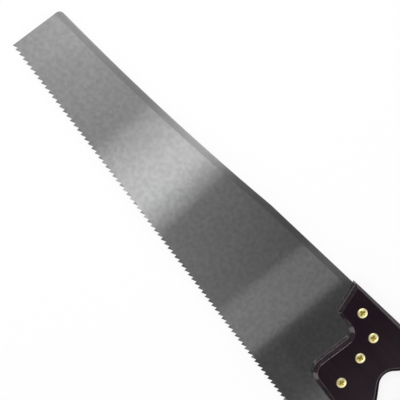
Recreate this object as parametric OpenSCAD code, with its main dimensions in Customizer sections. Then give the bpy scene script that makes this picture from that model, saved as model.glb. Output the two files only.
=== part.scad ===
// Skew-backed handsaw: a tapered steel blade in a closed wooden handle, held by four brass screws and nuts.
// It lies on its side. The toe is at -X and the handle at +X, along the tooth line; the teeth face -Y and the
// back +Y. The blade stands upright to Z, and the handle's lower cheek lies on Z = 0.
// Inside the modules x runs from the toe, y from the tooth tips and z from the middle of the blade.

/* [Blade] */
// Length along the tooth line, from the toe to the heel
blade_l = 558.8; // [480:0.1:640]
// Thickness of the steel plate
blade_t = 0.9; // [0.7:0.05:1.3]
// Width at the toe, square to the tooth line
toe_w = 64; // [50:1:80]
// Width at the heel, where the back's line meets the heel
heel_w = 164; // [158:1:172]
// Slope of the straight back ahead of the handle, in degrees
back_slope = 9.9; // [8:0.1:12]
// Distance from the heel to the hump of the back, where the hollow begins
hump_from_heel = 249; // [200:1:280]
// Radius of the hollow between the hump and the toe
skew_r = 3170; // [2200:10:6000]
// Radius of the toe's back corner
toe_r = 6; // [3:0.5:12]
// Width of the ground strip along the back
strip_w = 7.5; // [4:0.5:10]
// How much thinner the plate is at the outer edge of the strip, on each face
strip_drop = 0.2; // [0.05:0.05:0.3]
// Clearance of the handle's slot, on each side of the plate
slot_gap = 0.03; // [0.01:0.01:0.1]
// Wood left between the end of the blade's tang and the hand hole
tang_gap = 9; // [6:0.5:14]
// Height over the tooth tips at which the heel's edge turns in to the tang
tang_foot = 62; // [58:1:66]
// Height over the tooth tips at which that slant reaches the tang's end
tang_shoulder = 84; // [80:1:88]

/* [Teeth] */
// Distance from one tooth tip to the next
pitch = 6.35; // [5:0.05:8]
// Distance from the toe to the first whole tooth's tip
first_tip = 5.5; // [4:0.1:6]
// Height of a tooth
tooth_h = 3.2; // [2.4:0.1:4]
// Lean of a tooth's front face from square, in degrees
tooth_rake = 7; // [2:1:14]
// Flat at the bottom of each gullet
gullet_flat = 0.15; // [0.1:0.05:0.4]
// Sideways set of the tips, alternately up and down
tooth_set = 0.22; // [0.05:0.01:0.35]

/* [Handle] */
// Thickness between the two cheeks
handle_t = 22; // [19:0.5:26]
// How far the top edge of the nose stands proud of the blade's back
top_proud = 2.2; // [1.5:0.1:5]
// Distance from the heel to the nose's front corner, measured along the tooth line
nose_len = 118.5; // [105:0.5:130]
// Distance of the nose's lower edge below the back's line at the heel, square to the tooth line
nose_below_back = 55; // [48:0.5:60]
// How far the nose's front edge leans back at its foot
nose_rake = 14.3; // [8:0.1:20]
// Radius of the nose's lower corner; its top corner is a sharp mitre
nose_r = 3.6; // [3.6:0.1:8]
// Distance from the heel to the front of the lower lobe
lobe_len = 71.4; // [62:0.2:80]
// Height of the lobe's lower edge above the tooth tips
lobe_foot = 42.5; // [36:0.5:50]
// Radius of the lobe's front corner
lobe_r = 17; // [8:0.5:22]
// Radius of the notch between nose and lobe
notch_r = 11.5; // [8:0.5:16]
// Distance behind the heel at which the lower edge turns down to the lower horn
belly_behind_heel = 6; // [2:0.5:8]
// Radius of that turn
belly_r = 40; // [30:1:46]
// Distance behind the heel at which the top edge turns down to the upper horn
crest_behind_heel = 16; // [12:0.5:20]
// Radius of that turn
crest_r = 60; // [40:1:70]

/* [Grip and hand hole] */
// Distance from the heel to the hand hole's front edge, towards the toe
hole_len = 9.9; // [4:0.1:18]
// Distance of the hand hole's front edge below the back's line at the heel, square to the tooth line
hole_below_back = 55.5; // [50:0.5:58]
// Radius of the hand hole's front edge
hole_front_r = 16.5; // [12:0.5:20]
// Slope of the hand hole's side that runs up from its front edge, in degrees
hole_up = 50; // [48:1:52]
// Slope of the side that runs down from its front edge, in degrees
hole_down = 42; // [40:1:44]
// Length of the side that runs up
hole_side = 37; // [36:0.5:38]
// Radius of the hand hole where that side turns over to the top
hole_shoulder_r = 11; // [10:0.5:11]
// Width of the hand hole, square to the grip
hole_w = 42; // [39:0.5:46]
// Height of the hand hole along the grip, above its front edge
hole_top = 17; // [15:0.5:19]
// Radius of the hand hole at the top of the grip
hole_top_r = 10.5; // [8:0.5:11]
// Reach of the hand hole along the grip, below its front edge
hole_foot = 102; // [100:0.5:106]
// Radius of the hand hole at the foot of the grip
hole_foot_r = 9.5; // [8:0.5:10]
// Lean of the grip from square, its foot towards the rear, in degrees
grip_lean = 23; // [19:0.5:27]
// Thickness of the grip from the hand hole to its back
grip_t = 33; // [31:0.5:38]
// Swell of the grip's front and back at mid-length
grip_swell = 1.5; // [0.5:0.1:3]
// Distance of mid-length along the grip below the hand hole's front edge
grip_mid = 36; // [30:1:42]
// Radius of the swells
swell_r = 160; // [120:5:180]

/* [Upper horn] */
// Reach of the upper horn behind the grip
horn_reach = 20; // [16:0.5:25]
// Height of the horn's lower corner along the grip, above the hand hole's front edge
horn_low = 23; // [21:0.5:25]
// Height of the horn's upper corner
horn_high = 42; // [40:0.5:44]
// How far the upper corner stands in from the lower one
horn_slope = 4; // [2:0.5:6]
// Radius of both horns' tips
horn_r = 8.5; // [7:0.5:8.5]
// Radius of the upper horn's upper corner
horn_high_r = 12; // [9:0.5:12]
// Height of the hollow under the horn
hollow_high = 16; // [14:0.5:17]
// Depth of that hollow into the grip's back
hollow_in = 1; // [0:0.5:2]
// Radius of that hollow
hollow_r = 14; // [10:0.5:15]

/* [Lower horn] */
// Reach of the lower horn behind the grip
heel_horn_reach = 12; // [9:0.5:16]
// Distance of the horn's upper corner along the grip, below the hand hole's front edge
heel_horn_high = 109; // [107:0.5:110]
// Distance of its lower corner
heel_horn_low = 123; // [122:0.5:126]
// Reach of its lower corner behind the grip
heel_horn_foot = 3; // [2:0.5:6]
// Distance at which the grip's back runs out into the horn
grip_foot = 84; // [80:0.5:86]
// How far the grip's back has run out there
grip_flare = 1; // [0:0.5:2]
// Radius of that run
grip_foot_r = 26; // [18:0.5:28]
// Place of the web's corner under the hand hole, square to the grip
web_out = 21; // [19:0.5:22]
// Distance of that corner along the grip, below the hand hole's front edge
web_low = 99; // [98:0.5:102]
// Radius of that corner
web_r = 30; // [24:1:32]
// Place of the scallop ahead of the lower horn, square to the grip
scallop_out = 51; // [49:0.5:53]
// Distance of the scallop along the grip, below the hand hole's front edge
scallop_low = 98; // [97:0.5:100]
// Radius of the scallop
scallop_r = 26; // [20:0.5:26]

/* [Handle edges] */
// Chamfer along the nose, the top edge and the belly
chamfer = 3.2; // [2:0.1:3.2]
// Chamfer in the notch and round the lobe, where it is cut wider
lobe_chamfer = 4.4; // [3.2:0.1:4.8]
// Width of the rounded edges of the grip, measured across the cheek
grip_round = 13; // [10:0.5:14]
// Half of the flat left between the grip's rounded edges
grip_land = 0.8; // [0.5:0.1:2]
// Width of the rounded edges where the grip's back meets the lower horn
grip_foot_round = 11; // [9:0.5:13]
// Width of the rounded edges in the hollow under the upper horn
hollow_round = 10; // [8:0.5:12]
// Width of the rounded edges of the horns
horn_round = 7.5; // [5:0.5:8]
// Half of the flat left between the horns' rounded edges
horn_land = 3; // [2:0.5:5]
// Width of the rounded edge at the front of the hand hole
hole_round = 4.5; // [3:0.5:7]
// Width of the rounded edges along the top of the hand hole
hole_top_round = 9; // [7:0.5:10]
// Half of the flat left between them
hole_top_land = 1.8; // [1:0.1:3]
// Width of the rounded edges at the foot of the hand hole
hole_foot_round = 8; // [6:0.5:8]
// Half of the flat left between them
hole_foot_land = 2.8; // [2:0.1:4]
// Width of the rounded edges at the web's corner
web_round = 6; // [4:0.5:7]
// Half of the flat left between them
web_land = 4; // [3:0.5:6]
// Width and depth of the edges at the top edge's turn
crest_round = 5; // [3.5:0.5:6]

/* [Saw screws] */
// Diameter of the screw heads and nut heads
head_d = 12.7; // [11:0.1:14]
// Depth of the counterbores in the cheeks
head_seat = 2.2; // [1.8:0.1:3]
// Height of the domed head above the upper cheek
head_proud = 0.9; // [0.5:0.1:1.1]
// Depth of the head's straight rim below the cheek
head_rim = 0.3; // [0.1:0.1:0.6]
// How far the nut's flat head lies below the lower cheek
nut_sunk = 0.2; // [0.1:0.1:0.5]
// Diameter of the threaded shank
shank_d = 4.8; // [4:0.1:5.5]
// Diameter of the nut's barrel
barrel_d = 7.2; // [6.8:0.1:8]
// Radial clearance of heads, barrels and shanks in their holes
screw_gap = 0.06; // [0.03:0.01:0.1]
// Gap between the nut's barrel and the underside of the screw's head
barrel_short = 1.5; // [1:0.1:3]
// Gap between the shank's end and the outside of the nut's head
shank_short = 2.4; // [2:0.1:4]
// How much deeper than the shank the nut's bore goes
thread_end = 0.5; // [0.2:0.1:0.8]
// Width across the arms of the cross recess
recess_d = 6.6; // [5:0.1:7.5]
// Width of one arm of the cross recess
recess_arm = 2.3; // [1.2:0.1:2.4]
// Depth of the cross recess at its middle
recess_depth = 1.8; // [1.2:0.1:2.1]
// Width of the nut's screwdriver slot
nut_slot = 1.4; // [1:0.1:2]
// Depth of the nut's screwdriver slot
nut_slot_depth = 1; // [0.6:0.1:1.3]

/* [Places of the screws] */
// Front screw, distance behind the nose's front corner
screw_1_from_nose = 31.5; // [26:0.1:34]
// Front screw, distance below the back, square to the tooth line
screw_1_below_back = 18.3; // [15:0.1:21]
// Second screw, distance behind the nose's front corner
screw_2_from_nose = 62.9; // [58:0.1:66]
// Second screw, distance below the back, square to the tooth line
screw_2_below_back = 30.6; // [25:0.2:35]
// Third screw, distance from the heel
screw_3_from_heel = 45.8; // [40:0.2:52]
// Third screw, distance below the middle of the hand hole's front edge
screw_3_below_hole = 10.4; // [8:0.2:18]
// Rear screw, distance from the heel
screw_4_from_heel = 35.8; // [31:0.2:48]
// Rear screw, height above the lobe's lower edge
screw_4_above_lobe = 21.8; // [17.6:0.2:29.4]

/* [Hidden] */

steel = "#9a9ea2";
wood = "#2b1b1f";
brass = "#d9c27c";

cut = 2;           // reach of a cut beyond what it cuts
open_cut = 40;     // reach of the slot beyond the handle
skin_cut = 0.15;   // reach of an edge's cut past the cheek
lap = 0.5;         // how far two joined bodies of one piece run into each other
side_step = 10;    // spacing of stations along a straight stretch of the handle
turn_step = 9;     // degrees between stations round a corner
round_steps = 6;   // facets across one rounded edge

function corner(p, r, width, height) = [p[0], p[1], r, width, height];
function unit(v) = v / norm(v);
function right_of(v) = [v[1], -v[0]];
function smooth(t) = t * t * (3 - 2 * t);
function mix(a, b, t) = a + (b - a) * t;

// Height of the back's straight stretch over the tooth tips
function back_y(x) = heel_w - (blade_l - x) * tan(back_slope);

nose_x = blade_l - nose_len;
nose_top = back_y(nose_x) + top_proud;
nose_foot = heel_w - nose_below_back;
hole_mid = heel_w - hole_below_back;
lobe_x = blade_l - lobe_len;
tang_rear = blade_l - hole_len - tang_gap;

// Each screw: its place over the blade, and the turn of its recess
screws = [
    [nose_x + screw_1_from_nose, back_y(nose_x + screw_1_from_nose) - screw_1_below_back, 8],
    [nose_x + screw_2_from_nose, back_y(nose_x + screw_2_from_nose) - screw_2_below_back, 44],
    [blade_l - screw_3_from_heel, hole_mid - screw_3_below_hole, 38],
    [blade_l - screw_4_from_heel, lobe_foot + screw_4_above_lobe, 3],
];

// An outline is a list of corners [x, y, radius, edge width, edge height], walked with the wood on the left.
// A station is [x, y, outward x, y, edge width, edge height]. Outward has length 1, but is longer at a sharp
// corner, as the mitre is.
function sharp_corner(a, b, q, left) =
    let (out = -left * unit(a + b) / sin(acos(a * b) / 2))
    [[q[0], q[1], out[0], out[1], q[3], q[4]]];

function corner_arc(p, q, s) =
    let (a = unit([p[0] - q[0], p[1] - q[1]]), b = unit([s[0] - q[0], s[1] - q[1]]),
         half = acos(a * b) / 2, turn = 180 - 2 * half, left = cross(-a, b) > 0 ? 1 : -1,
         centre = [q[0], q[1]] + unit(a + b) * q[2] / sin(half),
         start = left * right_of(-a), n = ceil(turn / turn_step))
    q[2] == 0 ? sharp_corner(a, b, q, left) : [for (k = [0 : n])
        let (t = left * turn * k / n,
             u = [start[0] * cos(t) - start[1] * sin(t), start[0] * sin(t) + start[1] * cos(t)])
        [centre[0] + q[2] * u[0], centre[1] + q[2] * u[1], left * u[0], left * u[1], q[3], q[4]]];

function straight(f, g) =
    let (run = [g[0] - f[0], g[1] - f[1]], out = right_of(unit(run)),
         n = max(1, round(norm(run) / side_step)))
    n < 2 ? [] : [for (k = [1 : n - 1]) let (t = k / n, w = smooth(t))
        [f[0] + run[0] * t, f[1] + run[1] * t, out[0], out[1], mix(f[4], g[4], w), mix(f[5], g[5], w)]];

function stations(corners) =
    let (n = len(corners),
         arcs = [for (i = [0 : n - 1])
             corner_arc(corners[(i + n - 1) % n], corners[i], corners[(i + 1) % n])])
    [for (i = [0 : n - 1]) let (arc = arcs[i], next = arcs[(i + 1) % n])
        each concat(arc, straight(arc[len(arc) - 1], next[0]))];

function moved_out(loop, d) = [for (s = loop) [s[0] + s[2] * d, s[1] + s[3] * d]];

// A point given by its distance behind the hand hole's front edge and its height along the leaning grip
hole_front = [blade_l - hole_len, hole_mid];
along_grip = [-sin(grip_lean), cos(grip_lean)];
function by_grip(out, up) = hole_front + out * right_of(along_grip) + up * along_grip;

// Depth of an edge's cut from the cheek, for the flat that it leaves
function edge_depth(land) = handle_t / 2 - land;

grip_back = hole_w + grip_t;
grip_depth = edge_depth(grip_land);
horn_depth = edge_depth(horn_land);
hole_top_depth = edge_depth(hole_top_land);
crest_y = nose_top + (nose_len + crest_behind_heel) * tan(back_slope);

handle_corners = [
    // Lower edge, from the lobe to the lower horn
    corner([lobe_x, lobe_foot], lobe_r, lobe_chamfer, lobe_chamfer),
    corner([blade_l + belly_behind_heel, lobe_foot], belly_r, chamfer, chamfer),
    corner(by_grip(web_out, -web_low), web_r, web_round, edge_depth(web_land)),
    corner(by_grip(scallop_out, -scallop_low), scallop_r, horn_round, horn_depth),
    corner(by_grip(grip_back + heel_horn_foot, -heel_horn_low), horn_r, horn_round, horn_depth),
    corner(by_grip(grip_back + heel_horn_reach, -heel_horn_high), horn_r, horn_round, horn_depth),
    // Back of the grip, up to the hollow under the upper horn
    corner(by_grip(grip_back + grip_flare, -grip_foot), grip_foot_r, grip_foot_round, grip_depth),
    corner(by_grip(grip_back + grip_swell, -grip_mid), swell_r, grip_round, grip_depth),
    corner(by_grip(grip_back - hollow_in, hollow_high), hollow_r, hollow_round, grip_depth),
    // Upper horn
    corner(by_grip(grip_back + horn_reach, horn_low), horn_r, horn_round, horn_depth),
    corner(by_grip(grip_back + horn_reach - horn_slope, horn_high), horn_high_r, horn_round, horn_depth),
    corner([blade_l + crest_behind_heel, crest_y], crest_r, crest_round, crest_round),
    // Nose, and the notch between it and the lobe
    corner([nose_x, nose_top], 0, chamfer, chamfer),
    corner([nose_x + nose_rake, nose_foot], nose_r, chamfer, chamfer),
    corner([lobe_x, nose_foot], notch_r, lobe_chamfer, lobe_chamfer),
];

// Two sides of the hand hole run from its round front edge, up at one slope and down at another
hole_tip = hole_front - [hole_front_r / sin((180 - hole_up - hole_down) / 2) - hole_front_r, 0];
hole_shoulder = hole_tip + hole_side * [cos(hole_up), sin(hole_up)];
hole_corners = [
    corner(hole_tip, hole_front_r, hole_round, hole_round),
    corner(hole_shoulder, hole_shoulder_r, hole_top_round, hole_top_depth),
    corner(by_grip(hole_w, hole_top), hole_top_r, hole_top_round, hole_top_depth),
    corner(by_grip(hole_w - grip_swell, -grip_mid), swell_r, grip_round, grip_depth),
    corner(by_grip(hole_w, -hole_foot), hole_foot_r, hole_foot_round, edge_depth(hole_foot_land)),
];

handle_loop = stations(handle_corners);
hole_loop = stations(hole_corners);

// Bounds of the whole saw, which place it in its own frame
saw_l = max([for (s = handle_loop) s[0]]);
saw_w = max([for (s = handle_loop) s[1]]);

// Section of what is cut from an edge: a wall, a straight or rounded corner at each cheek, and the open side
function edge_curve(w, h, t) =
    let (bend = max(0, h - lobe_chamfer) / (grip_depth - lobe_chamfer))
    [w * mix(t, 1 - cos(90 * t), bend), handle_t / 2 - h + (h + skin_cut) * mix(t, sin(90 * t), bend)];
function edge_section(w, h) =
    let (over = handle_t / 2 + cut, top = [for (k = [0 : round_steps]) edge_curve(w, h, k / round_steps)])
    concat(top, [[w, over], [-cut, over], [-cut, -over], [w, -over]],
           [for (k = [round_steps : -1 : 0]) [top[k][0], -top[k][1]]]);

// A ring that sweeps an edge's section round a loop of stations
module edge_cutter(loop) {
    rings = [for (s = loop)
        [for (p = edge_section(s[4], s[5])) [s[0] - s[2] * p[0], s[1] - s[3] * p[0], p[1]]]];
    n = len(rings);
    m = len(rings[0]);
    polyhedron(
        points = [for (ring = rings) each ring],
        faces = [for (i = [0 : n - 1], j = [0 : m - 1])
            let (i2 = (i + 1) % n, j2 = (j + 1) % m,
                 a = i * m + j, b = i * m + j2, c = i2 * m + j2, d = i2 * m + j)
            each [[a, c, b], [a, d, c]]]
    );
}

module placed() translate([-saw_l / 2, -saw_w / 2, handle_t / 2]) children();

// The slot is open to the front, the top and the foot, and stops behind the tang
module blade_slot() {
    t = blade_t + 2 * slot_gap;
    front = nose_x - open_cut;
    rear = tang_rear + slot_gap;
    heel = blade_l + slot_gap;
    linear_extrude(t, center = true) polygon([
        [front, -open_cut], [heel, -open_cut], [heel, tang_foot + slot_gap], [rear, tang_shoulder + slot_gap],
        [rear, saw_w + open_cut], [front, saw_w + open_cut]]);
}

module screw_holes() {
    for (s = screws) translate([s[0], s[1], 0]) {
        cylinder(d = barrel_d + 2 * screw_gap, h = handle_t + cut, center = true, $fn = 48);
        for (side = [-1, 1]) translate([0, 0, side * (handle_t / 2 - head_seat / 2 + cut / 2)])
            cylinder(d = head_d + 2 * screw_gap, h = head_seat + cut, center = true, $fn = 64);
    }
}

module handle() color(wood) placed() difference() {
    linear_extrude(handle_t, center = true) polygon(moved_out(handle_loop, cut / 2));
    linear_extrude(handle_t + cut, center = true) polygon(moved_out(hole_loop, cut / 2));
    edge_cutter(handle_loop);
    edge_cutter(hole_loop);
    blade_slot();
    screw_holes();
}

// The back from the tang forward: straight to the hump, then the hollow to the toe's rounded corner
hump = [blade_l - hump_from_heel, back_y(blade_l - hump_from_heel)];
hollow = [0, toe_w] - hump;
hollow_centre = hump + hollow / 2 + right_of(unit(hollow)) * sqrt(skew_r * skew_r - hollow * hollow / 4);
hollow_start = atan2(hump[1] - hollow_centre[1], hump[0] - hollow_centre[0]);
hollow_turn = 2 * asin(norm(hollow) / 2 / skew_r);
hollow_steps = 14;
back = [
    [tang_rear, back_y(tang_rear)],
    for (k = [0 : hollow_steps]) let (a = hollow_start - hollow_turn * k / hollow_steps)
        hollow_centre + skew_r * [cos(a), sin(a)]];
toe_corner = [for (s = corner_arc(back[hollow_steps], [0, toe_w, toe_r], [0, 0])) [s[0], s[1]]];
plate = concat(
    [[0, tooth_h], [blade_l, tooth_h], [blade_l, tang_foot], [tang_rear, tang_shoulder]],
    [for (k = [0 : hollow_steps]) back[k]], toe_corner);

tooth_lean = tooth_h * tan(tooth_rake);
tooth_run = pitch - tooth_lean - gullet_flat;
tooth_count = floor((blade_l - first_tip - tooth_run) / pitch) + 1;
tooth_t = 0.9 * blade_t;   // a shade thinner than the plate, so that a bent tooth stays within its faces
tooth_root = 0.3;          // how far a tooth runs into the plate

// A tooth hangs from the plate's lower edge, its tip bent sideways about that edge
module tooth(outline, side) translate([0, tooth_h, 0]) rotate([side * asin(tooth_set / tooth_h), 0, 0])
    translate([0, -tooth_h, 0]) linear_extrude(tooth_t, center = true) polygon(outline);

module teeth() {
    top = tooth_h + tooth_root;
    // The toe holds the back of one more tooth
    tooth([[0, tooth_h * (pitch - first_tip) / tooth_run], [first_tip - tooth_lean - gullet_flat, tooth_h],
           [first_tip - tooth_lean - gullet_flat, top], [0, top]], -1);
    for (k = [0 : tooth_count - 1]) translate([first_tip + k * pitch, 0, 0])
        tooth([[0, 0], [tooth_run, tooth_h], [tooth_run, top], [-tooth_lean, top], [-tooth_lean, tooth_h]],
              k % 2 == 0 ? 1 : -1);
}

// What the grinding takes from the upper face along the back
module strip_cutter() {
    fall = strip_drop / strip_w;
    inner = lap;
    outer = -strip_w - cut / 2;
    section = [[inner, inner * fall], [inner, cut / 2], [outer, cut / 2], [outer, outer * fall]];
    line = concat([back[0] + unit(back[0] - back[1]) * cut], [for (k = [1 : hollow_steps]) back[k]],
                  [back[hollow_steps + 1] + unit(back[hollow_steps + 1] - back[hollow_steps]) * cut]);
    rings = [for (i = [0 : len(line) - 1])
        let (along = unit(line[min(i + 1, len(line) - 1)] - line[max(i - 1, 0)]), out = right_of(along))
        [for (p = section) let (in = p[0] + strip_w)
            [line[i][0] - out[0] * in, line[i][1] - out[1] * in, blade_t / 2 + p[1]]]];
    end = 4 * (len(rings) - 1);
    polyhedron(
        points = [for (ring = rings) each ring],
        faces = concat([[3, 1, 2], [3, 0, 1], [end, end + 2, end + 1], [end, end + 3, end + 2]],
            [for (i = [0 : len(rings) - 2], j = [0 : 3])
                let (a = 4 * i + j, b = 4 * i + (j + 1) % 4, c = b + 4, d = a + 4)
                each [[a, c, b], [a, d, c]]])
    );
}

module blade() color(steel) placed() {
    difference() {
        linear_extrude(blade_t, center = true) polygon(plate);
        strip_cutter();
        mirror([0, 0, 1]) strip_cutter();
        for (s = screws) translate([s[0], s[1], 0])
            cylinder(d = barrel_d + 2 * screw_gap, h = blade_t + cut, center = true, $fn = 48);
    }
    teeth();
}

head_under = handle_t / 2 - head_seat;
dome_steps = 7;

// The domed head fills its counterbore and shows a cross recess; the shank runs down into the nut
module saw_screw(s) color(brass) placed() translate([s[0], s[1], 0]) rotate(s[2]) difference() {
    union() {
        rotate_extrude($fn = 64) polygon(concat([[0, head_under], [head_d / 2, head_under]],
            [for (k = [0 : dome_steps]) let (a = 90 * k / dome_steps)
                [head_d / 2 * cos(a), handle_t / 2 - head_rim + (head_proud + head_rim) * sin(a)]]));
        translate([0, 0, shank_short + nut_sunk - handle_t / 2])
            cylinder(d = shank_d, h = head_under + handle_t / 2 - shank_short - nut_sunk + lap, $fn = 48);
    }
    cross_recess();
}

// Tapered cross, deepest in the middle
module cross_recess() translate([0, 0, handle_t / 2 + head_proud - recess_depth]) intersection() {
    cylinder(d1 = recess_arm, d2 = recess_d + cut, h = recess_depth * (recess_d + cut) / recess_d, $fn = 32);
    union() {
        cube([recess_d, recess_arm, 2 * recess_depth + cut], center = true);
        cube([recess_arm, recess_d, 2 * recess_depth + cut], center = true);
    }
}

// The nut's flat head fills the lower counterbore, and its barrel passes the blade to meet the screw
module saw_nut(s) color(brass) placed() translate([s[0], s[1], -handle_t / 2]) difference() {
    union() {
        translate([0, 0, nut_sunk]) cylinder(d = head_d, h = head_seat - nut_sunk, $fn = 64);
        translate([0, 0, head_seat - lap])
            cylinder(d = barrel_d, h = handle_t - 2 * head_seat - barrel_short + lap, $fn = 48);
    }
    translate([0, 0, nut_sunk + shank_short - thread_end])
        cylinder(d = shank_d + 2 * screw_gap, h = handle_t, $fn = 48);
    rotate(s[2]) cube([head_d + cut, nut_slot, 2 * (nut_sunk + nut_slot_depth)], center = true);
}

blade();
handle();
saw_screw(screws[0]);  // saw_screw_1
saw_screw(screws[1]);  // saw_screw_2
saw_screw(screws[2]);  // saw_screw_3
saw_screw(screws[3]);  // saw_screw_4
saw_nut(screws[0]);  // saw_nut_1
saw_nut(screws[1]);  // saw_nut_2
saw_nut(screws[2]);  // saw_nut_3
saw_nut(screws[3]);  // saw_nut_4
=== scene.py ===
# %% [markdown]
# A skew-backed handsaw lies on its side on a white table: a satin steel blade, a dark varnished wooden handle
# and four brass saw screws with their nuts. The measured solids come in first and stay where they are.
# Everything that follows gives them their finish, or takes a solid's place with a finer mesh of the same size.

# %% The solids of the saw
import math

import bpy
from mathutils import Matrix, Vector


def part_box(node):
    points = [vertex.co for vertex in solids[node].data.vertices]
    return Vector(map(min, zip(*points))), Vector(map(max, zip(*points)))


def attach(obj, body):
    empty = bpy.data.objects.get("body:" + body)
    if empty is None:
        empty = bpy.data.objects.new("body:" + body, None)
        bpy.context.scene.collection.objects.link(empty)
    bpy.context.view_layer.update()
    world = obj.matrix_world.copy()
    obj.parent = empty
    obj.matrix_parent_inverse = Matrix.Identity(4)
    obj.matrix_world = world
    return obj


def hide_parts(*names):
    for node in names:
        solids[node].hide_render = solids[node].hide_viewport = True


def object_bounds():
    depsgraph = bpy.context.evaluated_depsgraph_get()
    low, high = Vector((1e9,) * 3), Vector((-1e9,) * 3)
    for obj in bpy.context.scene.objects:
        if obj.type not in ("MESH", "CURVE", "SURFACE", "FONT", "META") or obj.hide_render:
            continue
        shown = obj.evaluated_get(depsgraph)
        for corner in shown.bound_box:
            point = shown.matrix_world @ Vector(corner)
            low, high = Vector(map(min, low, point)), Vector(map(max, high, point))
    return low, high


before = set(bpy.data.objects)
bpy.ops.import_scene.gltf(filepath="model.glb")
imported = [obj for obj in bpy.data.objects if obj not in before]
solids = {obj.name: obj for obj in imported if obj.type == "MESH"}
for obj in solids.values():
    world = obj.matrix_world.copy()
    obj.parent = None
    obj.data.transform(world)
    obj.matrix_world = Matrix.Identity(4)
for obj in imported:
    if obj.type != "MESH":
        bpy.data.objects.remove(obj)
cad_low, cad_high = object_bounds()
saw_length = cad_high.x - cad_low.x
mid_plane = sum(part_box("blade"), Vector()).z / 2
bpy.ops.object.select_all(action="DESELECT")
print("solids:", sorted(solids), "length", round(saw_length, 4), "m")

# %% [markdown]
# The photograph looks down on the saw through a long lens, from a little beyond the toe. A long lens far away
# keeps the blade's taper true. The camera is placed by what it looks at, how far off it is, how far it leans
# from straight down, and how far it is turned about its own axis.

# %% Camera
LENS = 126
AIM = Vector((-0.0783, -0.0293, 0.011))
DISTANCE = 1.5441
LEAN = math.radians(11.974)
TURN = math.radians(53.02)

camera_data = bpy.data.cameras.new("camera")
camera_data.lens = LENS
camera = bpy.data.objects.new("camera", camera_data)
bpy.context.scene.collection.objects.link(camera)
camera.location = AIM + DISTANCE * Vector((-math.sin(LEAN), 0, math.cos(LEAN)))
camera.rotation_mode = "ZYX"
camera.rotation_euler = (0, -LEAN, TURN)
bpy.context.scene.camera = camera
bpy.context.scene.view_settings.view_transform = "Standard"
print("camera at", [round(v, 3) for v in camera.location])

# %% [markdown]
# The table is a wide white sheet. Seen by the camera or in a polished surface it glows a little by itself, so
# that it stays white right up to the saw and keeps only a faint shadow. The room is white for the same rays,
# and gives everything else an even, plain light.

# %% Table and room
TABLE_SIZE = 8
TABLE_COLOUR = (0.95, 0.95, 0.95, 1)
SHADOW_SHARE = 0.16
ROOM_LIGHT = 0.70


def new_node(tree, kind, place, **settings):
    node = tree.nodes.new(kind)
    node.location = place
    for name, value in settings.items():
        setattr(node, name, value)
    return node


def seen_directly(tree, place):
    """A value of 1 for camera, glossy and transmission rays."""
    path = new_node(tree, "ShaderNodeLightPath", place)
    first = new_node(tree, "ShaderNodeMath", (place[0] + 200, place[1]), operation="MAXIMUM")
    second = new_node(tree, "ShaderNodeMath", (place[0] + 400, place[1]), operation="MAXIMUM")
    tree.links.new(path.outputs["Is Camera Ray"], first.inputs[0])
    tree.links.new(path.outputs["Is Glossy Ray"], first.inputs[1])
    tree.links.new(first.outputs[0], second.inputs[0])
    tree.links.new(path.outputs["Is Transmission Ray"], second.inputs[1])
    return second.outputs[0]


def make_table_material():
    material = bpy.data.materials.new("white_table")
    material.use_nodes = True
    tree = material.node_tree
    tree.nodes.clear()
    output = new_node(tree, "ShaderNodeOutputMaterial", (900, 0))
    mix = new_node(tree, "ShaderNodeMixShader", (700, 0))
    sheet = new_node(tree, "ShaderNodeBsdfDiffuse", (400, -100))
    glow = new_node(tree, "ShaderNodeEmission", (400, -260))
    share = new_node(tree, "ShaderNodeMath", (500, 160), operation="MULTIPLY")
    sheet.inputs["Color"].default_value = TABLE_COLOUR
    glow.inputs["Strength"].default_value = 1.0
    share.inputs[1].default_value = 1 - SHADOW_SHARE
    tree.links.new(seen_directly(tree, (-200, 160)), share.inputs[0])
    tree.links.new(share.outputs[0], mix.inputs[0])
    tree.links.new(sheet.outputs[0], mix.inputs[1])
    tree.links.new(glow.outputs[0], mix.inputs[2])
    tree.links.new(mix.outputs[0], output.inputs["Surface"])
    return material


bpy.ops.mesh.primitive_plane_add(size=TABLE_SIZE, location=(0, 0, cad_low.z))
table = bpy.context.object
table.name = "table"
table.data.materials.append(make_table_material())

room = bpy.data.worlds.new("room")
bpy.context.scene.world = room
room.use_nodes = True
room_tree = room.node_tree
room_tree.nodes.clear()
room_output = new_node(room_tree, "ShaderNodeOutputWorld", (900, 0))
room_mix = new_node(room_tree, "ShaderNodeMixShader", (700, 0))
room_light = new_node(room_tree, "ShaderNodeBackground", (400, -100))
room_seen = new_node(room_tree, "ShaderNodeBackground", (400, -260))
room_light.inputs["Strength"].default_value = ROOM_LIGHT
room_light.inputs["Color"].default_value = (1, 1, 1, 1)
room_seen.inputs["Color"].default_value = (1, 1, 1, 1)
room_tree.links.new(seen_directly(room_tree, (-200, 160)), room_mix.inputs[0])
room_tree.links.new(room_light.outputs[0], room_mix.inputs[1])
room_tree.links.new(room_seen.outputs[0], room_mix.inputs[2])
room_tree.links.new(room_mix.outputs[0], room_output.inputs["Surface"])
print("table", TABLE_SIZE, "m wide, room light", ROOM_LIGHT)

# %% [markdown]
# Flat steel shows what hangs over it. In the photograph that is a row of studio panels across the blade: grey
# over the toe, then bright, then dark towards the handle. The row here is one sheet over the saw, dimmed by
# columns, and only polished surfaces see it. Each column hangs where the mirror rule puts it, so that the
# camera sees it at the wanted place on the blade. The dark part ends sharply, so a second sheet hangs low there,
# which also keeps the handle's front walls dark. Behind it the upper sheet is bright, for the brass heads. A
# third, darker sheet hangs high over the handle, where it is small enough for the heads to look past it. A small
# fourth one closes the gap between them, which the lobe's outer wall would see as a bright spot.

# %% Panels over the saw
STEEL_TOP = cad_low.z + 0.0115
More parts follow.
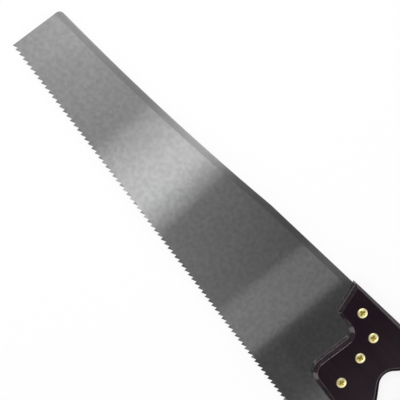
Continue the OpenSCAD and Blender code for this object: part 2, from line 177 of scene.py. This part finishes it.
# Columns on the blade: distance from the toe and brightness, each at the tooth tips and at BACK_AT from them
COLUMNS = [(-0.09, -0.09, 0.555, 0.85), (0.030, 0.030, 0.555, 0.85), (0.128, 0.124, 0.41, 0.47),
           (0.140, 0.136, 0.41, 0.47), (0.150, 0.146, 0.58, 0.67), (0.195, 0.190, 0.93, 0.93),
           (0.225, 0.213, 0.93, 0.92), (0.265, 0.248, 0.285, 0.235), (0.274, 0.262, 0.24, 4.00),
           (0.325, 0.323, 0.24, 4.00), (0.335, 0.333, 0.24, 0.13), (0.370, 0.367, 0.24, 0.13),
           (0.376, 0.373, 0.335, 0.235), (0.436, 0.428, 0.30, 0.225)]
LOW_COLUMNS = [(0.262, 0.245, 0.275, 0.23), (0.340, 0.330, 0.235, 0.14), (0.371, 0.368, 0.235, 0.12)]
DARK_COLUMNS = [(0.36, 0.36, 0.095, 0.08), (0.445, 0.445, 0.090, 0.075), (0.46, 0.455, 0.090, 0.05),
                (0.495, 0.49, 0.095, 0.05), (0.52, 0.51, 0.145, 0.09), (0.55, 0.54, 0.23, 0.23),
                (0.58, 0.58, 0.42, 0.42), (0.64, 0.64, 0.60, 0.60)]
LOBE_COLUMNS = [(0.440, 0.440, 0.10, 0.10), (0.505, 0.505, 0.10, 0.10)]
# The sheets' near and far ends, from the tooth tips across the blade
SPREAD = (-0.15, 0.40)
LOW_SPREAD = (-0.03, 0.18)
DARK_SPREAD = (-0.06, 0.36)
LOBE_SPREAD = (-0.035, 0.035)
PANEL_HEIGHT = 0.50
LOW_HEIGHT = 0.20
DARK_HEIGHT = 0.85
BACK_AT = 0.15


def in_mirror(x, y, height):
    """Where a thing hangs, so that the camera sees it in the blade at x from the toe and y from the teeth."""
    on_blade = Vector((cad_low.x + x, cad_low.y + y, 0))
    share = (height - STEEL_TOP) / (camera.location.z - STEEL_TOP)
    away = on_blade - Vector((camera.location.x, camera.location.y, 0))
    return on_blade + away * share + Vector((0, 0, height))


def make_glow_material():
    material = bpy.data.materials.new("studio_panel")
    material.use_nodes = True
    tree = material.node_tree
    tree.nodes.clear()
    output = new_node(tree, "ShaderNodeOutputMaterial", (400, 0))
    glow = new_node(tree, "ShaderNodeEmission", (200, 0))
    level = new_node(tree, "ShaderNodeAttribute", (0, 0), attribute_name="glow")
    tree.links.new(level.outputs["Fac"], glow.inputs["Strength"])
    tree.links.new(glow.outputs[0], output.inputs["Surface"])
    return material


glow_finish = make_glow_material()


def put_sheet(name, places, levels, columns):
    """A sheet of light through the places, row by row. Only polished surfaces see it."""
    bpy.ops.mesh.primitive_grid_add(x_subdivisions=columns - 1, y_subdivisions=len(places) // columns - 1)
    sheet = bpy.context.object
    sheet.name = name
    glow = sheet.data.attributes.new("glow", "FLOAT", "POINT")
    for number, vertex in enumerate(sheet.data.vertices):
        vertex.co = places[number]
        glow.data[number].value = levels[number]
    sheet.data.materials.append(glow_finish)
    sheet.visible_camera = False
    sheet.visible_diffuse = False
    sheet.visible_transmission = False
    sheet.visible_shadow = False


def hang_panels(name, columns, spread, height):
    places, levels = [], []
    for y in spread:
        over = y / BACK_AT
        for at_teeth, at_back, level_at_teeth, level_at_back in columns:
            places.append(in_mirror(at_teeth + (at_back - at_teeth) * over, y, height))
            levels.append(max(0.0, level_at_teeth + (level_at_back - level_at_teeth) * min(max(over, 0), 1)))
    put_sheet(name, places, levels, len(columns))
    print(name, "hangs at", height, "m in", len(columns) - 1, "panels")


hang_panels("panels_over_blade", COLUMNS, (SPREAD[0], 0, BACK_AT, SPREAD[1]), PANEL_HEIGHT)
hang_panels("panel_low", LOW_COLUMNS, (LOW_SPREAD[0], 0, BACK_AT, LOW_SPREAD[1]), LOW_HEIGHT)
hang_panels("panels_over_handle", DARK_COLUMNS, DARK_SPREAD, DARK_HEIGHT)
hang_panels("panel_by_lobe", LOBE_COLUMNS, LOBE_SPREAD, LOW_HEIGHT)

# %% [markdown]
# The varnished edges of the handle look sideways, so they need their own surroundings: a bright screen beyond
# the toe that draws thin lines along the arrises, grey ones under it for the chamfers that face the toe, a bright
# one and a dark one in front of the teeth, a bright one behind the back, and the dark of the camera's own corner,
# which the steel sends back into the handle's front walls.

# %% Screens round the saw
LAMP_AIM = Vector((0.16, 0.02, 0.02))
# Each screen: direction round the handle and height over the table in degrees, distance, width, height, level
SCREENS = {
    "screen_toe": (172, 32, 1.6, 1.3, 0.48, 9.0),
    "screen_toe_low": (186, 13, 1.9, 1.7, 0.60, 0.24),
    "screen_side_dark": (230, 15, 1.6, 1.15, 0.56, 0.24),
    "screen_teeth_light": (266, 22, 1.15, 0.66, 0.80, 2.1),
    "screen_teeth_dark": (307, 18, 1.10, 0.90, 0.80, 0.15),
    "screen_back": (70, 4, 0.80, 0.90, 0.16, 1.35),
    "screen_camera": (228, 68, 1.1, 1.1, 0.40, 0.15),
}


def way_to(heading, rise):
    heading, rise = math.radians(heading), math.radians(rise)
    return Vector((math.cos(heading) * math.cos(rise), math.sin(heading) * math.cos(rise), math.sin(rise)))


for name, (heading, rise, far, width, height, level) in SCREENS.items():
    middle = LAMP_AIM + far * way_to(heading, rise)
    across = Vector((-math.sin(math.radians(heading)), math.cos(math.radians(heading)), 0)) * width / 2
    upward = way_to(heading, rise + 90) * height / 2
    corners = [middle - across - upward, middle + across - upward, middle - across + upward,
               middle + across + upward]
    put_sheet(name, corners, [level] * 4, 2)
# A black card lies flat on the table in front of the teeth, where the foot of the handle looks down at it. Under
# the hand hole a dark sheet is a painted shadow of the handle on the table, for the rim of the hole to see.
CARDS_AND_PAINTED_SHADOW = {"card_teeth": (-0.05, 0.80, -1.05, -0.10, 0.15), "painted_shadow_hole": (0.20, 0.31, -0.06, 0.06, 0.12)}
CARD_LIFT = 0.0005
for name, (left, right, near, far, level) in CARDS_AND_PAINTED_SHADOW.items():
    corners = [Vector((x, y, cad_low.z + CARD_LIFT)) for y in (near, far) for x in (left, right)]
    put_sheet(name, corners, [level] * 4, 2)
print(len(SCREENS), "screens and", len(CARDS_AND_PAINTED_SHADOW), "cards")

# %% [markdown]
# Two soft lamps stand outside what the flat of the blade mirrors. They light the rounded arrises and the brass.
# With the room's light they add up to a plain level, at which a colour comes out about as it is written.

# %% Lamps
# Each lamp: direction round the handle and height over the table, in degrees, distance, width, and power
LAMPS = {
    "lamp_toe": (183, 52, 1.6, 0.70, 8.0),
    "lamp_rear": (20, 50, 1.6, 0.70, 1.5),
}
for name, (heading, rise, far, width, power) in LAMPS.items():
    way = way_to(heading, rise)
    lamp_data = bpy.data.lights.new(name, "AREA")
    lamp_data.shape = "DISK"
    lamp_data.size = width
    lamp_data.energy = power
    lamp = bpy.data.objects.new(name, lamp_data)
    bpy.context.scene.collection.objects.link(lamp)
    lamp.location = LAMP_AIM + far * way
    lamp.rotation_euler = (-way).to_track_quat("-Z", "Y").to_euler()
print(len(LAMPS), "lamps")

# %% [markdown]
# Some effects come back in more than one finish, so each is a node group. Clouding is the slow change of tone
# over a hand-finished surface. Grain is the fine texture, drawn out along the way the surface was worked. Wear
# and highlight lightens the edges, partly where handling has rubbed them and partly as a painted highlight along
# them, and it breaks up along the edge as real wear does.

# %% Shared effects


def new_group(name, inputs, outputs):
    group = bpy.data.node_groups.new(name, "ShaderNodeTree")
    for label, value in inputs.items():
        socket = group.interface.new_socket(label, in_out="INPUT", socket_type="NodeSocketFloat")
        socket.default_value = value
    for label in outputs:
        group.interface.new_socket(label, in_out="OUTPUT", socket_type="NodeSocketFloat")
    inside = new_node(group, "NodeGroupInput", (-600, 0))
    outside = new_node(group, "NodeGroupOutput", (600, 0))
    return group, inside, outside


def make_clouding():
    group, inside, outside = new_group("clouding", {"Scale": 40, "Low": 0, "High": 1}, ["Tone"])
    place = new_node(group, "ShaderNodeTexCoord", (-400, 200))
    noise = new_node(group, "ShaderNodeTexNoise", (-200, 200))
    spread = new_node(group, "ShaderNodeMapRange", (200, 200))
    noise.inputs["Detail"].default_value = 4
    spread.inputs["From Min"].default_value = 0.35
    spread.inputs["From Max"].default_value = 0.65
    group.links.new(place.outputs["Object"], noise.inputs["Vector"])
    group.links.new(inside.outputs["Scale"], noise.inputs["Scale"])
    group.links.new(noise.outputs["Fac"], spread.inputs["Value"])
    group.links.new(inside.outputs["Low"], spread.inputs["To Min"])
    group.links.new(inside.outputs["High"], spread.inputs["To Max"])
    group.links.new(spread.outputs["Result"], outside.inputs["Tone"])
    return group


def make_grain():
    group, inside, outside = new_group("grain", {"Along": 20, "Across": 900}, ["Tone"])
    place = new_node(group, "ShaderNodeTexCoord", (-400, 200))
    stretch = new_node(group, "ShaderNodeCombineXYZ", (-400, -100))
    scaled = new_node(group, "ShaderNodeVectorMath", (-200, 200), operation="MULTIPLY")
    noise = new_node(group, "ShaderNodeTexNoise", (0, 200))
    noise.inputs["Scale"].default_value = 1
    noise.inputs["Detail"].default_value = 3
    group.links.new(inside.outputs["Along"], stretch.inputs["X"])
    group.links.new(inside.outputs["Across"], stretch.inputs["Y"])
    group.links.new(inside.outputs["Across"], stretch.inputs["Z"])
    group.links.new(place.outputs["Object"], scaled.inputs[0])
    group.links.new(stretch.outputs[0], scaled.inputs[1])
    group.links.new(scaled.outputs[0], noise.inputs["Vector"])
    group.links.new(noise.outputs["Fac"], outside.inputs["Tone"])
    return group


clouding = make_clouding()
grain = make_grain()


def place_group(tree, group, place, **values):
    node = new_node(tree, "ShaderNodeGroup", place, node_tree=group)
    for label, value in values.items():
        node.inputs[label].default_value = value
    return node


def make_wear_and_highlight():
    group, inside, outside = new_group("wear_and_highlight", {"Scale": 150, "Amount": 0.5}, ["Mask"])
    edge = new_node(group, "ShaderNodeAttribute", (-400, 300), attribute_name="edge")
    broken = place_group(group, clouding, (-400, 0), Low=0, High=1)
    share = new_node(group, "ShaderNodeMath", (-100, 0), operation="MULTIPLY")
    mask = new_node(group, "ShaderNodeMath", (200, 200), operation="MULTIPLY")
    group.links.new(inside.outputs["Scale"], broken.inputs["Scale"])
    group.links.new(broken.outputs["Tone"], share.inputs[0])
    group.links.new(inside.outputs["Amount"], share.inputs[1])
    group.links.new(edge.outputs["Fac"], mask.inputs[0])
    group.links.new(share.outputs[0], mask.inputs[1])
    group.links.new(mask.outputs[0], outside.inputs["Mask"])
    return group


wear_and_highlight = make_wear_and_highlight()
print("groups:", [group.name for group in bpy.data.node_groups])


def new_finish(name):
    material = bpy.data.materials.new(name)
    material.use_nodes = True
    tree = material.node_tree
    return material, tree, tree.nodes["Principled BSDF"]


def blend(tree, place, factor, first, second):
    """Goes from the first colour to the second by factor. Either may be a fixed colour or an output."""
    mix = new_node(tree, "ShaderNodeMix", place, data_type="RGBA")
    for socket, colour in ((mix.inputs[6], first), (mix.inputs[7], second)):
        if isinstance(colour, tuple):
            socket.default_value = (*colour, 1)
        else:
            tree.links.new(colour, socket)
    tree.links.new(factor, mix.inputs[0])
    return mix.outputs[2]


def spread_out(tree, place, value, low, high, start=0.0, end=1.0):
    """Maps a value that runs from start to end onto low to high."""
    ranged = new_node(tree, "ShaderNodeMapRange", place)
    ranged.inputs["From Min"].default_value = start
    ranged.inputs["From Max"].default_value = end
    ranged.inputs["To Min"].default_value = low
    ranged.inputs["To Max"].default_value = high
    tree.links.new(value, ranged.inputs["Value"])
    return ranged.outputs["Result"]


def height_off_plane(tree, place):
    """How far a point is above or below the plate's middle."""
    point = new_node(tree, "ShaderNodeTexCoord", place)
    height = new_node(tree, "ShaderNodeSeparateXYZ", (place[0] + 200, place[1]))
    above = new_node(tree, "ShaderNodeMath", (place[0] + 400, place[1]), operation="SUBTRACT")
    apart = new_node(tree, "ShaderNodeMath", (place[0] + 600, place[1]), operation="ABSOLUTE")
    above.inputs[1].default_value = mid_plane
    tree.links.new(point.outputs["Object"], height.inputs[0])
    tree.links.new(height.outputs["Z"], above.inputs[0])
    tree.links.new(above.outputs[0], apart.inputs[0])
    return apart.outputs[0]


def relief(tree, place, height, strength, distance, below=None):
    """A bump from height, laid over another bump if one is given."""
    bump = new_node(tree, "ShaderNodeBump", place)
    bump.inputs["Strength"].default_value = strength
    bump.inputs["Distance"].default_value = distance
    tree.links.new(height, bump.inputs["Height"])
    if below is not None:
        tree.links.new(below, bump.inputs["Normal"])
    return bump.outputs["Normal"]


# %% [markdown]
# The blade is ground and polished lengthwise to a satin. The finest lines run along it, and a faint mottle lies
# under them. Its strip along the back is ground thinner and left rougher, so it reads darker. The strip's faces
# lean outwards, and that lean in the true normal is how the finish finds them. At the strip's outer edge the
# plate is thinnest, and handling has rubbed it bright again there.

# %% Satin steel
STRIP_LEAN = (0.010, 0.016)
# Height over the plate's middle, from where the strip is rubbed bright to where it is not
RUBBED_EDGE = (0.00029, 0.00033)


def make_steel():
    material, tree, steel = new_finish("satin_steel")
    mottle = place_group(tree, clouding, (-1300, 400), Scale=190, Low=0, High=1)
    stain = place_group(tree, clouding, (-1300, 150), Scale=28, Low=0, High=1)
    lines = place_group(tree, grain, (-1300, -100), Along=35, Across=1600)
    scratches = place_group(tree, grain, (-1300, -350), Along=90, Across=380)
    facing = new_node(tree, "ShaderNodeNewGeometry", (-1300, 700))
    split = new_node(tree, "ShaderNodeSeparateXYZ", (-1100, 700))
    tree.links.new(facing.outputs["True Normal"], split.inputs[0])
    strip = spread_out(tree, (-900, 700), split.outputs["Y"], 0, 1, *STRIP_LEAN)
    plain = blend(tree, (-900, 400), mottle.outputs["Tone"], (0.495, 0.498, 0.50), (0.60, 0.603, 0.605))
    aged = blend(tree, (-650, 400), spread_out(tree, (-900, 150), stain.outputs["Tone"], 0, 0.25),
                 plain, (0.50, 0.495, 0.48))
    ground = blend(tree, (-900, 950), scratches.outputs["Tone"], (0.34, 0.34, 0.342), (0.44, 0.44, 0.442))
    off_plane = height_off_plane(tree, (-1900, 1150))
    rubbed = spread_out(tree, (-900, 1350), off_plane, 1, 0, *RUBBED_EDGE)
    edged = blend(tree, (-650, 750), rubbed, ground, (0.43, 0.43, 0.432))
    base = blend(tree, (-400, 500), strip, aged, edged)
    fine = spread_out(tree, (-900, -100), lines.outputs["Tone"], 0.05, 0.11)
    coarse = new_node(tree, "ShaderNodeMath", (-650, -100), operation="MULTIPLY_ADD")
    coarse.inputs[1].default_value = 0.06
    tree.links.new(strip, coarse.inputs[0])
    tree.links.new(fine, coarse.inputs[2])
    soft = relief(tree, (-650, -350), mottle.outputs["Tone"], 0.10, 0.00004)
    steel.inputs["Metallic"].default_value = 1.0
    tree.links.new(base, steel.inputs["Base Color"])
    tree.links.new(coarse.outputs[0], steel.inputs["Roughness"])
    tree.links.new(relief(tree, (-400, -250), lines.outputs["Tone"], 0.10, 0.00002, soft), steel.inputs["Normal"])
    return material


# %% [markdown]
# The handle is dark hardwood under several coats of varnish: almost black, with a purple-brown grain that only
# shows close up. The varnish is a clear coat with its own gloss over the duller wood. Where the arrises and
# chamfers are rubbed, a lighter brown is painted in, partly real wear of the stain and partly a painted highlight
# along them. The front walls along the blade get a painted grey sheen, lighter towards their upper edge, which
# stands in for light on the walls.

# %% Dark varnished wood
# Height over the plate's middle where the painted sheen on the front walls is faint, and where it is full
PAINTED_SHEEN_HEIGHTS = (0.0022, 0.0048)
FAINT_PAINTED_SHEEN = 0.15


def make_wood():
    material, tree, wood = new_finish("dark_varnished_wood")
    fibres = place_group(tree, grain, (-1100, 0), Along=28, Across=520)
    figure = place_group(tree, grain, (-1100, -250), Along=9, Across=75)
    clouds = place_group(tree, clouding, (-1100, 300), Scale=18, Low=0.3, High=1)
    rubbed = place_group(tree, wear_and_highlight, (-1100, 550), Scale=170, Amount=0.25)
    painted_sheen = new_node(tree, "ShaderNodeAttribute", (-500, 700), attribute_name="painted_sheen")
    tone = new_node(tree, "ShaderNodeMath", (-850, 0), operation="MULTIPLY")
    tree.links.new(fibres.outputs["Tone"], tone.inputs[0])
    tree.links.new(figure.outputs["Tone"], tone.inputs[1])
    depth = new_node(tree, "ShaderNodeMath", (-650, 100), operation="MULTIPLY")
    tree.links.new(spread_out(tree, (-850, 200), tone.outputs[0], 0, 1, 0.12, 0.40), depth.inputs[0])
    tree.links.new(clouds.outputs["Tone"], depth.inputs[1])
    grained = blend(tree, (-500, 300), depth.outputs[0], (0.0090, 0.0038, 0.0078), (0.017, 0.0074, 0.0118))
    # A lighter brown on the rubbed arrises and chamfers: partly real wear, partly a painted highlight along them
    worn_and_highlight = blend(tree, (-300, 400), rubbed.outputs["Mask"], grained, (0.14, 0.075, 0.085))
    # A grey blended into the front walls by their mark and by height: a painted sheen that stands in for light on them
    strength = new_node(tree, "ShaderNodeMath", (-100, 700), operation="MULTIPLY")
    tree.links.new(painted_sheen.outputs["Fac"], strength.inputs[0])
    tree.links.new(spread_out(tree, (-300, 900), height_off_plane(tree, (-1000, 950)), FAINT_PAINTED_SHEEN, 1, *PAINTED_SHEEN_HEIGHTS),
                   strength.inputs[1])
    base = blend(tree, (100, 400), strength.outputs[0], worn_and_highlight, (0.066, 0.057, 0.059))
    wood.inputs["Roughness"].default_value = 0.5
    wood.inputs["Specular IOR Level"].default_value = 0.02
    wood.inputs["Coat Weight"].default_value = 1.0
    wood.inputs["Coat Roughness"].default_value = 0.06
    tree.links.new(base, wood.inputs["Base Color"])
    tree.links.new(relief(tree, (-300, -250), fibres.outputs["Tone"], 0.25, 0.0001), wood.inputs["Normal"])
    return material


# %% [markdown]
# The screws are brass, bright on the rubbed heads and dull down in the recesses, where the polish never goes.
# Round their rims a painted shade darkens the head where it sits in the wood. Each piece carries one mark of
# what lies deeper than the head's own surface and one of how far out a place is, and the finish goes from bright
# to dull, or to the painted shade, by them.

# %% Brass
# How far out the painted shade round the rim begins and is full, as a share of the head's radius
RIM = (0.855, 0.905)


def make_brass():
    material, tree, brass = new_finish("brass")
    clouds = place_group(tree, clouding, (-900, 300), Scale=420, Low=0, High=1)
    turned = place_group(tree, grain, (-900, -200), Along=500, Across=500)
    dull = new_node(tree, "ShaderNodeAttribute", (-900, 600), attribute_name="dull")
    out = new_node(tree, "ShaderNodeAttribute", (-700, 850), attribute_name="out")
    painted_rim_shade = spread_out(tree, (-500, 850), out.outputs["Fac"], 0, 1, *RIM)
    bright = blend(tree, (-500, 300), clouds.outputs["Tone"], (0.90, 0.78, 0.38), (0.97, 0.89, 0.52))
    clean = blend(tree, (-250, 400), dull.outputs["Fac"], bright, (0.30, 0.235, 0.030))
    # Round the rim the head turns dark and less metallic: painted shade where it sits in the wood
    base = blend(tree, (-50, 400), painted_rim_shade, clean, (0.035, 0.022, 0.010))
    tree.links.new(spread_out(tree, (-250, 650), painted_rim_shade, 1.0, 0.3), brass.inputs["Metallic"])
    tree.links.new(base, brass.inputs["Base Color"])
    tree.links.new(spread_out(tree, (-500, 0), dull.outputs["Fac"], 0.30, 0.5), brass.inputs["Roughness"])
    tree.links.new(relief(tree, (-250, -200), turned.outputs["Tone"], 0.08, 0.00003), brass.inputs["Normal"])
    return material


steel_finish = make_steel()
wood_finish = make_wood()
brass_finish = make_brass()
print("finishes:", steel_finish.name, wood_finish.name, brass_finish.name)

# %% [markdown]
# The measured solids are loose triangles, which can only be shaded flat. A copy whose shared corners are
# merged can be smooth where the real piece is round. Its crisp edges are then broken a little, as glasspaper
# leaves them, so that they catch the light. Large flat faces keep their own normals, so that they stay flat.

# %% Finer copies of the solids
SMOOTH_BELOW = math.radians(30)
FLAT_WITHIN = math.radians(0.4)
ARRIS = 0.0008
CRISP = 0.00012
HEAD_REACH = 0.0072
INSIDE = 0.0085


def merged_copy(node, name):
    piece = bpy.data.objects.new(name, solids[node].data.copy())
    bpy.context.scene.collection.objects.link(piece)
    bpy.ops.object.select_all(action="DESELECT")
    piece.select_set(True)
    bpy.context.view_layer.objects.active = piece
    bpy.ops.object.mode_set(mode="EDIT")
    bpy.ops.mesh.select_all(action="SELECT")
    bpy.ops.mesh.remove_doubles(threshold=1e-6)
    bpy.ops.mesh.dissolve_limited(angle_limit=FLAT_WITHIN)
    bpy.ops.object.mode_set(mode="OBJECT")
    return piece


def break_edges(piece, width, share_of):
    """Bevels each crisp edge by its share of the width, and marks the new faces for the wear and painted highlight."""
    mesh = piece.data
    weight = mesh.attributes.new("bevel_weight_edge", "FLOAT", "EDGE")
    faces_of = {}
    for face in mesh.polygons:
        for key in face.edge_keys:
            faces_of.setdefault(key, []).append(face.normal)
    for edge in mesh.edges:
        normals = faces_of[edge.key]
        if len(normals) == 2 and normals[0].angle(normals[1], 0) > SMOOTH_BELOW:
            middle = (mesh.vertices[edge.vertices[0]].co + mesh.vertices[edge.vertices[1]].co) / 2
            weight.data[edge.index].value = share_of(middle)
    mesh.materials.clear()
    mesh.materials.append(bpy.data.materials.new("broken"))
    mesh.materials.append(mesh.materials[0])
    rounding = piece.modifiers.new("broken_edge", "BEVEL")
    rounding.width = width
    rounding.segments = 2
    rounding.limit_method = "WEIGHT"
    rounding.use_clamp_overlap = False
    rounding.material = 1
    bpy.ops.object.modifier_apply(modifier="broken_edge")
    edge_mark = mesh.attributes.new("edge", "FLOAT", "CORNER")
    for face in mesh.polygons:
        for corner in face.loop_indices:
            edge_mark.data[corner].value = float(face.material_index == 1)
        face.material_index = 0
    mesh.materials.clear()


def finish_piece(piece, node, finish):
    bpy.ops.object.shade_smooth_by_angle(angle=SMOOTH_BELOW)
    weighted = piece.modifiers.new("flat_faces", "WEIGHTED_NORMAL")
    weighted.keep_sharp = True
    bpy.ops.object.modifier_apply(modifier="flat_faces")
    piece.data.materials.append(finish)
    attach(piece, "root")
    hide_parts(node)


# %% [markdown]
# On the handle, the long arrises are well rubbed, the rims of the screw holes stay crisp, and what lies inside,
# in the slot and the holes, is left as cut.

# %% Handle
# How far from the middle plane the outer arrises start, and how much crisper the inner ones are
OUTER_ARRIS = 0.009
INNER_SHARE = 0.1
# The front's outer arris is crispest at the nose and common from LOBE_AT below the middle of the saw
CRISPEST = 0.3
LOBE_AT = 0.030
# How much of the wear and painted highlight the chamfers get
CHAMFER_WEAR_AND_HIGHLIGHT = 0.38
WEAR_END = 0.20
FRONT_END = 0.17
cheek_low, cheek_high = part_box("handle")
screw_places = [sum(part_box(f"saw_screw_{number}"), Vector()) / 2 for number in range(1, 5)]


def handle_share(place):
    by_screw = any((place - screw).xy.length < HEAD_REACH for screw in screw_places)
    if by_screw:
        return CRISP / ARRIS if abs(place.z - mid_plane) > INSIDE else 0.0
    off_plane = abs(place.z - mid_plane)
    if off_plane < OUTER_ARRIS:
        return 0.0 if off_plane < 0.001 else INNER_SHARE
    if place.x > WEAR_END:
        return 1.0
    return CRISPEST + (1.0 - CRISPEST) * min(1.0, max(0.0, -place.y / LOBE_AT))


def mark_front(mesh):
    """Marks the front walls for the painted sheen, and the chamfers for a little wear and painted highlight."""
    painted_sheen = mesh.attributes.new("painted_sheen", "FLOAT", "CORNER")
    edge = mesh.attributes["edge"]
    for face in mesh.polygons:
        rise = abs(face.normal.z)
        is_front = face.center.x < FRONT_END and face.normal.x < -0.9
        for corner in face.loop_indices:
            painted_sheen.data[corner].value = float(is_front and rise < 0.2)
            if 0.2 < rise < 0.95 and face.center.x < WEAR_END:
                edge.data[corner].value = max(edge.data[corner].value, CHAMFER_WEAR_AND_HIGHLIGHT)


handle = merged_copy("handle", "handle_varnished")
break_edges(handle, ARRIS, handle_share)
mark_front(handle.data)
finish_piece(handle, "handle", wood_finish)
print("handle faces:", len(handle.data.polygons))

# %% [markdown]
# Each screw and nut is dull where it lies deeper than its own rounded or flat face, by a depth worked out from
# the head's dome.

# %% Screws and nuts
DULL_BELOW = 0.00006


def mark_dull(piece, centre, radius, face_height):
    """Marks each face that lies deeper than the head's own surface, and how far out each corner is."""
    mesh = piece.data
    for mark in ("dull", "out"):
        mesh.attributes.new(mark, "FLOAT", "CORNER")
    dull, far_out = mesh.attributes["dull"], mesh.attributes["out"]
    side = 1 if face_height(0) > mid_plane else -1
    for face in mesh.polygons:
        out = (face.center - centre).xy.length / radius
        deep = (face_height(min(out, 1.0)) - face.center.z) * side > DULL_BELOW
        for corner in face.loop_indices:
            out = (mesh.vertices[mesh.loops[corner].vertex_index].co - centre).xy.length / radius
            dull.data[corner].value = float(deep)
            far_out.data[corner].value = out


for number in range(1, 5):
    for part in ("screw", "nut"):
        node = f"saw_{part}_{number}"
        low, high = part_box(node)
        centre, radius = (low + high) / 2, (high.x - low.x) / 2
        piece = merged_copy(node, f"{part}_{number}_polished")
        break_edges(piece, CRISP, lambda place: 1.0)
        if part == "screw":
            rim = cheek_high.z - 0.0003
            mark_dull(piece, centre, radius, lambda out: rim + (high.z - rim) * math.sqrt(1 - out * out))
        else:
            mark_dull(piece, centre, radius, lambda out: low.z)
        finish_piece(piece, node, brass_finish)
print("screws and nuts: 8")

# %% [markdown]
# The blade's solid already has its true taper, teeth and ground strip, all of them flat faces. It stays, and
# takes the steel finish on its own material slots.

# %% Blade
blade = solids["blade"]
for slot in blade.material_slots:
    slot.material = steel_finish
print("blade slots:", len(blade.material_slots))
